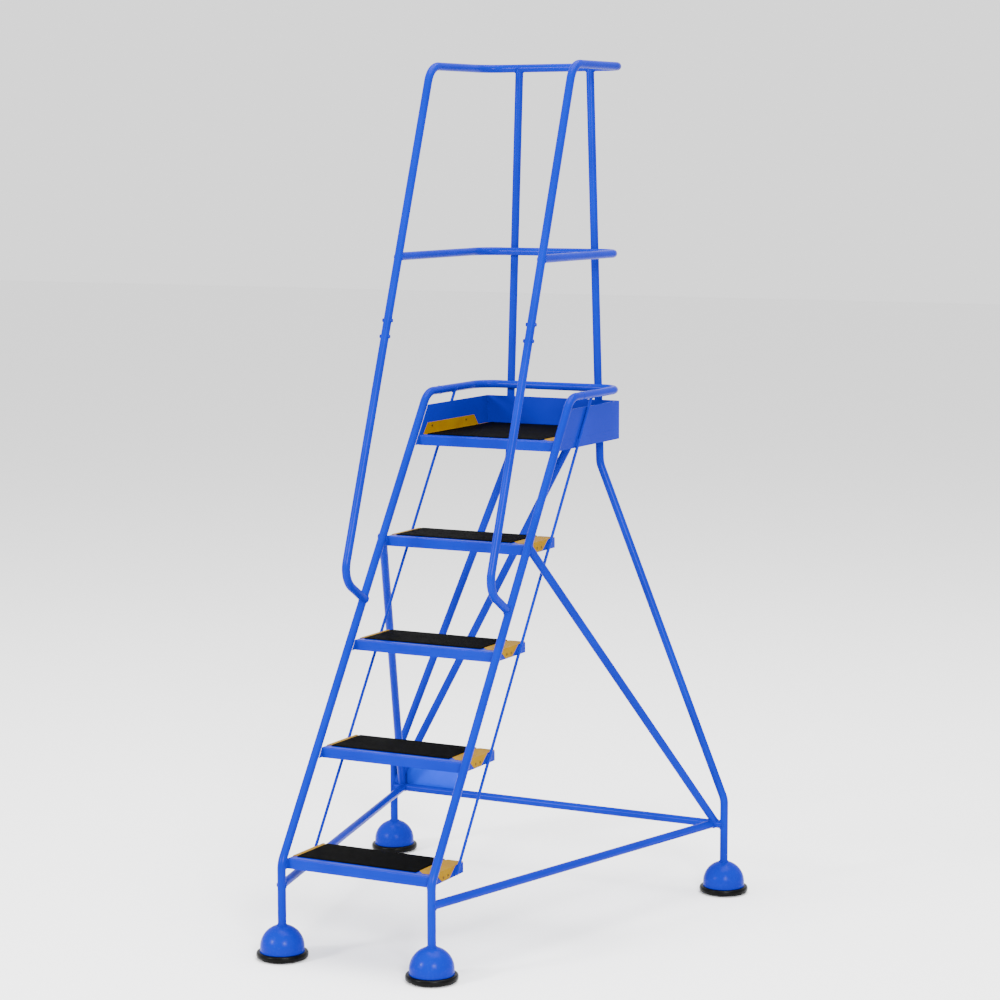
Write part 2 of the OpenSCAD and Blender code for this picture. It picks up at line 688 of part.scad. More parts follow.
// the fork: a plate on the swivel and two cheeks down to the axle
fork_half_w = fork_in_w / 2 + fork_side_t;
cheek_low_r = 8;
plate_back = 8;
module fork() color(steel) difference() {
    union() {
        translate([0, 0, fork_plate_z]) cylinder(r = fork_half_w + 2, h = fork_plate_t);
        translate([-fork_half_w, 0, fork_plate_z]) cube([2 * fork_half_w, trail + plate_back, fork_plate_t]);
        for (s = [-1, 1]) translate([s * (fork_in_w + fork_side_t) / 2 - fork_side_t / 2, 0, 0])
            rotate([90, 0, 90]) linear_extrude(fork_side_t) {
                polygon([[-4, fork_plate_z + eps], [trail + plate_back, fork_plate_z + eps],
                    [trail + cheek_low_r, wheel_r], [trail - cheek_low_r, wheel_r]]);
                translate([trail, wheel_r]) circle(r = cheek_low_r);
            }
    }
    translate([0, 0, fork_plate_z - 1]) cylinder(r = stud_r + fit_gap, h = fork_plate_t + 2);
    translate([0, trail, wheel_r]) rotate([0, 90, 0])
        cylinder(r = axle_r + fit_gap, h = 4 * fork_half_w, center = true);
}

module wheel() color([0.25, 0.25, 0.27]) translate([0, trail, wheel_r]) rotate([0, 90, 0])
    rotate_extrude($fn = 64) difference() {
        union() {
            translate([0, -wheel_w / 2]) square([wheel_r - 3, wheel_w]);
            translate([0, -wheel_w / 2 + 3]) square([wheel_r, wheel_w - 6]);
            for (y = [-1, 1]) translate([wheel_r - 3, y * (wheel_w / 2 - 3)]) circle(r = 3);
        }
        translate([0, -wheel_w]) square([axle_r + fit_gap, 2 * wheel_w]);
        for (y = [-1, 1]) translate([axle_r + 4, y * wheel_w / 2 - 2]) square([wheel_r - axle_r - 11, 4]);
    }

// axle bolt with its head and nut
axle_head_r = 6.5;
axle_head_t = 3.5;
module axle() color(steel) translate([0, trail, wheel_r]) rotate([0, 90, 0]) {
    cylinder(r = axle_r, h = 2 * fork_half_w + 0.2, center = true);
    for (s = [-1, 1]) translate([0, 0, s * (fork_half_w + 0.1 + axle_head_t / 2)])
        cylinder(r = axle_head_r, h = axle_head_t + 2 * eps, center = true, $fn = 6);
}

module fl() translate([feet[0][0], feet[0][1], 0]) children();
module fr() translate([feet[1][0], feet[1][1], 0]) children();
module rl() translate([feet[2][0], feet[2][1], 0]) children();
module rr() translate([feet[3][0], feet[3][1], 0]) children();

left_stile();
right_stile();
hoop_rail();
left_handrail_foot();
right_handrail_foot();
handrail_loop();
handrail_sleeves();
handrail_bolts();
mid_rail();
left_rear_leg();
right_rear_leg();
left_side_brace();
right_side_brace();
rear_diagonal_brace();
left_base_rail();
right_base_rail();
rear_cross_rail();
left_tie_rod();
right_tie_rod();
tread_1();
tread_2();
tread_3();
tread_4();
tread_mat_1();
tread_mat_2();
tread_mat_3();
tread_mat_4();
tread_guards_left();
tread_guards_right();
platform_pan();
toe_board();
platform_mat();
platform_guards();
rivets();
sign_plate();
foot_domes();
floor_rings();
guide_bushes();
spring_stops();
fl() spring();  // fl_spring
fl() spindle();  // fl_spindle
fl() fork();  // fl_fork
fl() wheel();  // fl_wheel
fl() axle();  // fl_axle
fr() spring();  // fr_spring
fr() spindle();  // fr_spindle
fr() fork();  // fr_fork
fr() wheel();  // fr_wheel
fr() axle();  // fr_axle
rl() spring();  // rl_spring
rl() spindle();  // rl_spindle
rl() fork();  // rl_fork
rl() wheel();  // rl_wheel
rl() axle();  // rl_axle
rr() spring();  // rr_spring
rr() spindle();  // rr_spindle
rr() fork();  // rr_fork
rr() wheel();  // rr_wheel
rr() axle();  // rr_axle
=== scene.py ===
"""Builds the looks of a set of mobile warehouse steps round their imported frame.

The frame gives every tube, tread and castor. This script paints them and adds what a frame leaves
out: pressed domes and moulded floor rings, ribbed mats, weld beads and a blank sign label.
"""

import json
import logging
import math
from dataclasses import dataclass, field
from enum import Enum
from typing import Callable, Iterator, Optional, Sequence, Union

import bmesh
import bpy
from mathutils import Matrix, Vector


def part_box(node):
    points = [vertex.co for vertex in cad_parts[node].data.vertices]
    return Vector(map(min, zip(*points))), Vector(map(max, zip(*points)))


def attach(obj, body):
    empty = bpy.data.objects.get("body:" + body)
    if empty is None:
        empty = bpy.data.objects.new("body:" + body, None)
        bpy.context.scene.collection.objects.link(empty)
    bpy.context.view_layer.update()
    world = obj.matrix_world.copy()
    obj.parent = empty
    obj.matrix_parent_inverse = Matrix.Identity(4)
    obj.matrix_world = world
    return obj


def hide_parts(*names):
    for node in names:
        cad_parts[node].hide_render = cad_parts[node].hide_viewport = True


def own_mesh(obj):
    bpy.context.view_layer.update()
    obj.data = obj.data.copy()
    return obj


LOG = logging.getLogger("steps")

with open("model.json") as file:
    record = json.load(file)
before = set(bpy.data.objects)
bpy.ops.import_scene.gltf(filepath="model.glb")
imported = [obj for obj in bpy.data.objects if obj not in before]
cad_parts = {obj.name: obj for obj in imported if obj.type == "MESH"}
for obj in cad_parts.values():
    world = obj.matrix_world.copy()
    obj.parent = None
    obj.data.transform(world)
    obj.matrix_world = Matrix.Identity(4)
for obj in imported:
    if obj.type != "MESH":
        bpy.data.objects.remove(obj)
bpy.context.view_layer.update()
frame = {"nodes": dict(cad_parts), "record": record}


# ---------------------------------------------------------------- shader expressions


Number = Union[float, int]


class Value:
    """A number that varies over a surface: one output socket with the usual operators."""

    def __init__(self, tree: bpy.types.NodeTree, socket: bpy.types.NodeSocket) -> None:
        """Wraps a socket.

        Args:
            tree: the node tree that the socket belongs to.
            socket: the output that carries the number.
        """
        self.tree = tree
        self.socket = socket

    def _math(self, operation: str, first: "Value | Number", second: "Value | Number" = 0.0) -> "Value":
        """Adds a Math node.

        Args:
            operation: the Math node's operation.
            first: its first operand.
            second: its second operand.

        Returns:
            The node's result.
        """
        node = self.tree.nodes.new("ShaderNodeMath")
        node.operation = operation
        for slot, operand in zip(node.inputs, (first, second)):
            if isinstance(operand, Value):
                self.tree.links.new(operand.socket, slot)
            else:
                slot.default_value = float(operand)
        return Value(self.tree, node.outputs[0])

    def __add__(self, other: "Value | Number") -> "Value":
        """Adds.

        Args:
            other: what is added.

        Returns:
            The sum.
        """
        return self._math("ADD", self, other)

    __radd__ = __add__

    def __rsub__(self, other: Number) -> "Value":
        """Subtracts this value from a number.

        Args:
            other: the number.

        Returns:
            The difference.
        """
        return self._math("SUBTRACT", other, self)

    def __mul__(self, other: "Value | Number") -> "Value":
        """Multiplies.

        Args:
            other: the factor.

        Returns:
            The product.
        """
        return self._math("MULTIPLY", self, other)

    __rmul__ = __mul__

    def above(self, edge: Number, width: Number) -> "Value":
        """A soft step from 0 to 1.

        Args:
            edge: the value at which the step begins.
            width: how far the value rises until the step is complete.

        Returns:
            0 below the edge, 1 above the edge plus the width.
        """
        node = self.tree.nodes.new("ShaderNodeMapRange")
        node.interpolation_type = "SMOOTHSTEP"
        self.tree.links.new(self.socket, node.inputs["Value"])
        node.inputs["From Min"].default_value = float(edge)
        node.inputs["From Max"].default_value = float(edge + width)
        return Value(self.tree, node.outputs["Result"])


Colour = tuple[float, float, float]


class Painter:
    """One material and the few moves that every finish is painted with."""

    def __init__(self, name: str) -> None:
        """Starts an empty material.

        Args:
            name: the material's name.
        """
        self.material = bpy.data.materials.new(name)
        self.material.use_nodes = True
        self.tree = self.material.node_tree
        self.tree.nodes.clear()
        self.shader = self.tree.nodes.new("ShaderNodeBsdfPrincipled")
        output = self.tree.nodes.new("ShaderNodeOutputMaterial")
        self.tree.links.new(self.shader.outputs["BSDF"], output.inputs["Surface"])

    def node(self, kind: str, settings: Optional[dict] = None, **inputs: object) -> bpy.types.Node:
        """Adds any node.

        Args:
            kind: the node's type.
            settings: properties to set before the inputs.
            inputs: values, Values or sockets by input name, with _ for a space.

        Returns:
            The node.
        """
        node = self.tree.nodes.new(kind)
        for key, value in (settings or {}).items():
            setattr(node, key, value)
        for key, value in inputs.items():
            slot = node.inputs[key.replace("_", " ")]
            if isinstance(value, Value):
                self.tree.links.new(value.socket, slot)
            elif isinstance(value, bpy.types.NodeSocket):
                self.tree.links.new(value, slot)
            else:
                slot.default_value = value
        return node

    def place(self, stretch: Colour = (1.0, 1.0, 1.0)) -> bpy.types.NodeSocket:
        """The point on the object, in metres.

        Args:
            stretch: scale along each axis.

        Returns:
            The socket of the scaled point.
        """
        point = self.node("ShaderNodeTexCoord").outputs["Object"]
        if stretch == (1.0, 1.0, 1.0):
            return point
        return self.node("ShaderNodeMapping", Vector=point, Scale=stretch).outputs["Vector"]

    def noise(self, scale: float, detail: float = 3.0, stretch: Colour = (1.0, 1.0, 1.0)) -> Value:
        """A cloudy pattern round one half.

        Args:
            scale: features per metre.
            detail: octaves.
            stretch: scale along each axis.

        Returns:
            The pattern's value.
        """
        made = self.node("ShaderNodeTexNoise", Vector=self.place(stretch), Scale=scale, Detail=detail)
        return Value(self.tree, made.outputs["Fac"])

    def cells(self, scale: float) -> Value:
        """Distance to scattered points, for specks.

        Args:
            scale: points per metre.

        Returns:
            The distance, 0 at a point.
        """
        made = self.node("ShaderNodeTexVoronoi", Vector=self.place(), Scale=scale)
        return Value(self.tree, made.outputs["Distance"])

    def height(self) -> Value:
        """Height above the floor in metres."""
        split = self.node("ShaderNodeSeparateXYZ", Vector=self.place())
        return Value(self.tree, split.outputs["Z"])

    def mix(self, share: Value, low: "Colour | bpy.types.NodeSocket", high: "Colour | bpy.types.NodeSocket"):
        """Mixes two colours.

        Args:
            share: 0 for the first, 1 for the second.
            low: the first colour, or a socket that carries one.
            high: the second.

        Returns:
            The mixed colour's socket.
        """
        made = self.node("ShaderNodeMix", {"data_type": "RGBA"})
        self.tree.links.new(share.socket, made.inputs[0])
        for slot, colour in ((made.inputs[6], low), (made.inputs[7], high)):
            if isinstance(colour, bpy.types.NodeSocket):
                self.tree.links.new(colour, slot)
            else:
                slot.default_value = (*colour, 1.0)
        return made.outputs[2]

    def set(self, slot: str, what: object) -> None:
        """Sets or links one of the shader's inputs.

        Args:
            slot: the input's name.
            what: a number, a Value, or a colour's socket.
        """
        target = self.shader.inputs[slot]
        if isinstance(what, Value):
            self.tree.links.new(what.socket, target)
        elif isinstance(what, bpy.types.NodeSocket):
            self.tree.links.new(what, target)
        else:
            target.default_value = what

    def bump(self, relief: Value, depth: float) -> None:
        """Roughens the surface.

        Args:
            relief: the height pattern, from 0 to 1.
            depth: its depth in metres.
        """
        made = self.node("ShaderNodeBump", Height=relief, Distance=depth, Strength=1.0)
        self.set("Normal", made.outputs["Normal"])


# ---------------------------------------------------------------- finishes


@dataclass(frozen=True)
class PowderCoat:
    """Gloss powder coat: an even colour, a faint orange peel, and dust low down."""

    name: str
    colour: Colour
    shade: Colour
    dust: Colour = (0.006, 0.022, 0.24)
    roughness: float = 0.25
    gloss: float = 0.035
    dust_height: float = 0.16

    def material(self) -> bpy.types.Material:
        """Paints the finish."""
        paint = Painter(self.name)
        cloud = paint.noise(7.0, 2.0)
        peel = paint.noise(420.0, 2.0)
        speck = paint.noise(160.0, 4.0)
        body = paint.mix(cloud.above(0.35, 0.3), self.shade, self.colour)
        low = (self.dust_height - paint.height()).above(0.0, self.dust_height)
        dusty = low * speck.above(0.5, 0.22) * 0.28
        paint.set("Base Color", paint.mix(dusty, body, self.dust))
        paint.set("Roughness", peel * 0.06 + cloud * 0.05 + dusty * 0.5 + (self.roughness - 0.055))
        paint.set("Specular IOR Level", self.gloss)
        paint.bump(peel, 0.00006)
        return paint.material


@dataclass(frozen=True)
class Rubber:
    """Black rubber with a fine grain, pale dust in the grain and worn, smoother patches."""

    name: str
    colour: Colour
    dust: Colour
    dusting: float
    roughness: float
    grain: float
    gloss: float = 0.012

    def material(self) -> bpy.types.Material:
        """Paints the finish."""
        paint = Painter(self.name)
        grain = paint.noise(900.0, 3.0)
        patch = paint.noise(14.0, 3.0)
        speck = paint.cells(240.0)
        dusty = (patch.above(0.4, 0.35) * grain.above(0.42, 0.2) + (1 - speck.above(0.04, 0.05)) * 0.8)
        dusty = dusty * self.dusting
        paint.set("Base Color", paint.mix(dusty, self.colour, self.dust))
        paint.set("Roughness", patch * 0.16 + grain * 0.1 + (self.roughness - 0.13))
        paint.set("Specular IOR Level", self.gloss)
        paint.bump(grain, self.grain)
        return paint.material


@dataclass(frozen=True)
class SafetyYellow:
    """Satin yellow paint on sheet steel, with scuffs and small chips."""

    name: str = "safety_yellow"
    colour: Colour = (0.180, 0.090, 0.0)
    light: Colour = (0.200, 0.108, 0.0)
    chip: Colour = (0.09, 0.045, 0.002)
    gloss: float = 0.02

    def material(self) -> bpy.types.Material:
        """Paints the finish."""
        paint = Painter(self.name)
        cloud = paint.noise(26.0, 3.0)
        scuff = paint.noise(60.0, 5.0, (1.0, 7.0, 1.0))
        chips = 1 - paint.cells(70.0).above(0.05, 0.03)
        worn = scuff.above(0.66, 0.06) * 0.35 + chips * 0.5
        body = paint.mix(cloud.above(0.3, 0.4), self.colour, self.light)
        paint.set("Base Color", paint.mix(worn, body, self.chip))
        paint.set("Roughness", scuff * 0.2 + cloud * 0.1 + 0.25)
        paint.set("Specular IOR Level", self.gloss)
        paint.bump(paint.noise(500.0, 2.0), 0.00004)
        return paint.material


@dataclass(frozen=True)
class Plating:
    """Bright or dull plated steel, brushed along Z and a little stained."""

    name: str
    colour: Colour
    stain: Colour
    roughness: float

    def material(self) -> bpy.types.Material:
        """Paints the finish."""
        paint = Painter(self.name)
        brushed = paint.noise(700.0, 2.0, (1.0, 1.0, 0.08))
        stain = paint.noise(45.0, 4.0)
        paint.set("Base Color", paint.mix(stain.above(0.45, 0.3) * 0.5, self.colour, self.stain))
        paint.set("Metallic", 1.0)
        paint.set("Roughness", brushed * 0.18 + stain * 0.14 + (self.roughness - 0.16))
        paint.bump(brushed, 0.00003)
        return paint.material


@dataclass(frozen=True)
class Moulding:
    """Moulded plastic with a fine spark texture and soft clouding."""

    name: str
    colour: Colour
    cloud: Colour
    roughness: float
    gloss: float = 0.3

    def material(self) -> bpy.types.Material:
        """Paints the finish."""
        paint = Painter(self.name)
        spark = paint.noise(1100.0, 2.0)
        cloud = paint.noise(30.0, 3.0)
        paint.set("Base Color", paint.mix(cloud.above(0.35, 0.35), self.colour, self.cloud))
        paint.set("Roughness", spark * 0.14 + cloud * 0.1 + (self.roughness - 0.12))
        paint.set("Specular IOR Level", self.gloss)
        paint.bump(spark, 0.00004)
        return paint.material


@dataclass(frozen=True)
class Backdrop:
    """A plain pale floor."""

    name: str = "pale_floor"
    colour: Colour = (0.93, 0.93, 0.93)

    def material(self) -> bpy.types.Material:
        """Paints the finish."""
        paint = Painter(self.name)
        paint.set("Base Color", (*self.colour, 1.0))
        paint.set("Roughness", 0.9)
        paint.set("Specular IOR Level", 0.1)
        return paint.material


class Look(Enum):
    """The finishes of the steps, by the record's material slot."""

    FRAME = ("frame_paint", PowderCoat("blue_powder_coat", (0.0002, 0.0078, 0.250), (0.0001, 0.0064, 0.220)))
    MAT = ("mat_rubber", Rubber("mat_rubber", (0.0009, 0.0009, 0.0009), (0.012, 0.012, 0.011),
        0.12, 0.55, 0.0001))
    GUARD = ("guard_yellow", SafetyYellow())
    RIVET = ("rivet_paint", Plating("rivet_steel", (0.10, 0.05, 0.01), (0.05, 0.03, 0.01), 0.5))
    RING = ("ring_rubber", Rubber("ring_rubber", (0.0012, 0.0012, 0.0012), (0.014, 0.014, 0.013),
        0.08, 0.3, 0.00005, 0.06))
    ZINC = ("zinc_steel", Plating("zinc_plate", (0.60, 0.61, 0.63), (0.42, 0.42, 0.40), 0.34))
    SPRING = ("spring_steel", Plating("oiled_spring", (0.36, 0.36, 0.38), (0.20, 0.18, 0.15), 0.36))
    NYLON = ("nylon", Moulding("nylon_bush", (0.78, 0.76, 0.70), (0.70, 0.68, 0.61), 0.45))
    WHEEL = ("wheel_polymer", Moulding("grey_tyre", (0.055, 0.056, 0.06), (0.075, 0.075, 0.08), 0.5))
    LABEL = ("frame_paint", Moulding("label_film", (0.003, 0.028, 0.480), (0.003, 0.026, 0.455), 0.5, 0.05))

    def __init__(self, slot: str, finish: object) -> None:
        """Keeps the slot's name and the finish.

        Args:
            slot: the record's material slot.
            finish: the dataclass that paints it.
        """
        self.slot = slot
        self.finish = finish


class Paintshop:
    """Makes each finish once and puts it on pieces."""

    def __init__(self) -> None:
        """Starts with no finish made."""
        self._made: dict[Look, bpy.types.Material] = {}

    def material(self, look: Look) -> bpy.types.Material:
        """The material of a look, made when first asked for.

        Args:
            look: which finish.

        Returns:
            Its material.
        """
        if look not in self._made:
            self._made[look] = look.finish.material()
        return self._made[look]

    def dress(self, piece: bpy.types.Object, look: Look) -> bpy.types.Object:
        """Gives a piece one finish all over.

        Args:
            piece: a new piece or a CAD node.
            look: which finish.

        Returns:
            The piece.
        """
        piece.data.materials.clear()
        piece.data.materials.append(self.material(look))
        return piece


# ---------------------------------------------------------------- working with meshes


def clear_selection() -> None:
    """Deselects every object."""
    for thing in bpy.context.selected_objects:
        thing.select_set(False)


def take(piece: bpy.types.Object) -> bpy.types.Object:
    """Makes a piece the only selected and active object.

    Args:
        piece: the object.

    Returns:
        The same object.
    """
    clear_selection()
    piece.select_set(True)
    bpy.context.view_layer.objects.active = piece
    return piece


def settle(piece: bpy.types.Object) -> bpy.types.Object:
    """Puts a piece's place, turn and size into its mesh.

    Args:
        piece: the object.

    Returns:
        The same object, at the origin.
    """
    take(piece)
    bpy.ops.object.transform_apply(location=True, rotation=True, scale=True)
    return piece


def finish_with(piece: bpy.types.Object, kind: str, **settings: object) -> None:
    """Adds a modifier and applies it.

    Args:
        piece: the object.
        kind: the modifier's type.
        settings: its properties.
    """
    take(piece)
    modifier = piece.modifiers.new(kind.title(), kind)
    for key, value in settings.items():
        setattr(modifier, key, value)
    bpy.ops.object.modifier_apply(modifier=modifier.name)


def pick(piece: bpy.types.Object, kind: str, test: Callable[[object], bool]) -> None:
    """Enters edit mode with only the chosen parts of a mesh selected.

    Args:
        piece: the object.
        kind: "VERT", "EDGE" or "FACE".
        test: says whether a vertex, an edge's or a face's centre is chosen.
    """
    take(piece)
    bpy.ops.object.mode_set(mode="EDIT")
    bpy.ops.mesh.select_mode(type=kind)
    bpy.ops.mesh.select_all(action="DESELECT")
    mesh = bmesh.from_edit_mesh(piece.data)
    if kind == "VERT":
        for vertex in mesh.verts:
            vertex.select_set(test(vertex.co))
    elif kind == "EDGE":
        for edge in mesh.edges:
            edge.select_set(test((edge.verts[0].co + edge.verts[1].co) / 2))
    else:
        for face in mesh.faces:
            face.select_set(test(face.calc_center_median()))
    mesh.select_flush_mode()
    bmesh.update_edit_mesh(piece.data)


def leave_edit() -> None:
    """Goes back to object mode."""
    bpy.ops.object.mode_set(mode="OBJECT")


def recalculate(piece: bpy.types.Object) -> None:
    """Merges doubles and turns every face outwards.

    Args:
        piece: the object.
    """
    take(piece)
    bpy.ops.object.mode_set(mode="EDIT")
    bpy.ops.mesh.select_all(action="SELECT")
    bpy.ops.mesh.remove_doubles(threshold=1e-6)
    bpy.ops.mesh.normals_make_consistent(inside=False)
    leave_edit()


def smooth(piece: bpy.types.Object, degrees: float = 40.0) -> None:
    """Shades a piece smooth except at sharp edges.

    Args:
        piece: the object.
        degrees: edges sharper than this stay sharp.
    """
    take(piece)
    bpy.ops.object.shade_smooth_by_angle(angle=math.radians(degrees))


def join(name: str, pieces: Sequence[bpy.types.Object]) -> bpy.types.Object:
    """Joins pieces into one.

    Args:
        name: the joined piece's name.
        pieces: what to join.

    Returns:
        The joined piece.
    """
    clear_selection()
    for piece in pieces:
        piece.select_set(True)
    bpy.context.view_layer.objects.active = pieces[0]
    bpy.ops.object.join()
    joined = bpy.context.view_layer.objects.active
    joined.name = name
    return settle(joined)


# ---------------------------------------------------------------- the frame's lines


@dataclass(frozen=True)
class Line:
    """A straight centre line."""

    start: Vector
    end: Vector

    @property
    def direction(self) -> Vector:
        """Unit vector from start to end."""
        return (self.end - self.start).normalized()

    def away(self, point: Vector) -> "Line":
        """The same line, running away from the end that is nearer to a point.

        Args:
            point: a point near one end.

        Returns:
            The line, turned if need be.
        """
        near = (self.start - point).length < (self.end - point).length
        return self if near else Line(self.end, self.start)


class Side(Enum):
    """The climber's left or right."""

    LEFT = -1
    RIGHT = 1


@dataclass
class Skeleton:
    """Centre lines of the tubes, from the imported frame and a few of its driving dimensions."""

    lean: float = math.radians(34.0)
    handrail_lean: float = math.radians(19.75)
    knee_z: float = 0.245
    first_deck_z: float = 0.257
    rise: float = 0.2525
    nose_lead: float = 0.005
    handrail_lead: float = 0.178
    foot_lean: float = math.radians(58.0)
    foot_z: float = 0.859
    rod_lead: float = 0.147
    waist_x: float = 0.1415
    ankle_z: float = 0.260
    base_inset: float = 0.032
    tube_r: float = field(init=False)

    def __post_init__(self) -> None:
        """Measures what the frame's boxes give."""
        low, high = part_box("rear_cross_rail")
        self.tube_r = (high.z - low.z) / 2
        self.base_z = (high.z + low.z) / 2
        self.rear_y = (high.y + low.y) / 2
        low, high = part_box("right_stile")
        self.stile_x = (high.x + low.x) / 2
        self.leg_z = low.z
        self.front_y = low.y + self.tube_r
        low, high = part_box("hoop_rail")
        self.hoop_z = (high.z + low.z) / 2
        self.hoop_front_y = low.y
        self.inner_y = high.y - self.tube_r
        low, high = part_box("mid_rail")
        self.mid_z = (high.z + low.z) / 2
        self.rail_x = high.x - self.tube_r
        low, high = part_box("handrail_loop")
        self.top_z = high.z - self.tube_r
        low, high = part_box("right_handrail_foot")
        self.joint_z = high.z
        low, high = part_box("right_rear_leg")
        self.rear_x = high.x - self.tube_r
        low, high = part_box("right_tie_rod")
        self.rod_x = (high.x + low.x) / 2
        self.rod_r = (high.x - low.x) / 2
        low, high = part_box("tread_1")
        self.pan_x = high.x
        self.lip_h = high.z - low.z

    def deck_z(self, level: int) -> float:
        """Height of a level's deck.

        Args:
            level: 1 to 4 for the treads, 5 for the platform.

        Returns:
            The height in metres.
        """
        return self.first_deck_z + (level - 1) * self.rise

    def stile_y(self, z: float) -> float:
        """Where the stiles' centre lines are at a height.

        Args:
            z: height in metres.

        Returns:
            The place along Y.
        """
        return self.front_y + (z - self.knee_z) * math.tan(self.lean)

    def handrail_y(self, z: float) -> float:
        """Where the handrails' centre lines are at a height.

        Args:
            z: height in metres.

        Returns:
            The place along Y.
        """
        ref_z = self.deck_z(4)
        return self.stile_y(ref_z) - self.handrail_lead + (z - ref_z) * math.tan(self.handrail_lean)

    def stile(self, side: Side) -> Line:
        """The leaning part of a stile.

        Args:
            side: which side of the steps.

        Returns:
            Its centre line, upwards.
        """
        x = side.value * self.stile_x
        knee = Vector((x, self.front_y, self.knee_z))
        return Line(knee, Vector((x, self.stile_y(self.hoop_z), self.hoop_z)))

    def front_leg(self, side: Side) -> Line:
        """The upright part of a stile.

        Args:
            side: which side of the steps.

        Returns:
            Its centre line, upwards.
        """
        x = side.value * self.stile_x
        return Line(Vector((x, self.front_y, self.leg_z)), Vector((x, self.front_y, self.knee_z)))

    def handrail(self, side: Side) -> Line:
        """The straight part of a handrail.

        Args:
            side: which side of the steps.

        Returns:
            Its centre line, upwards.
        """
        x = side.value * self.rail_x
        z = self.deck_z(4)
        return Line(Vector((x, self.handrail_y(z), z)), Vector((x, self.handrail_y(self.top_z), self.top_z)))

    def rear_leg(self, side: Side) -> Line:
        """The upright foot of a rear leg.

        Args:
            side: which side of the steps.

        Returns:
            Its centre line, upwards.
        """
        x = side.value * self.rear_x
        return Line(Vector((x, self.rear_y, self.leg_z)), Vector((x, self.rear_y, self.ankle_z)))

    def base_rail(self, side: Side) -> Line:
        """A base rail.

        Args:
            side: which side of the steps.

        Returns:
            Its centre line, from front to rear.
        """
        start = Vector((side.value * self.stile_x, self.front_y, self.base_z))
        end = Vector((side.value * (self.rear_x - self.base_inset), self.rear_y, self.base_z))
        return Line(start, end)

    def across(self, y: float, z: float) -> Line:
        """A line along X at a given place.

        Args:
            y: its place along Y.
            z: its height.

        Returns:
            The line.
        """
        return Line(Vector((-1.0, y, z)), Vector((1.0, y, z)))


# ---------------------------------------------------------------- welds


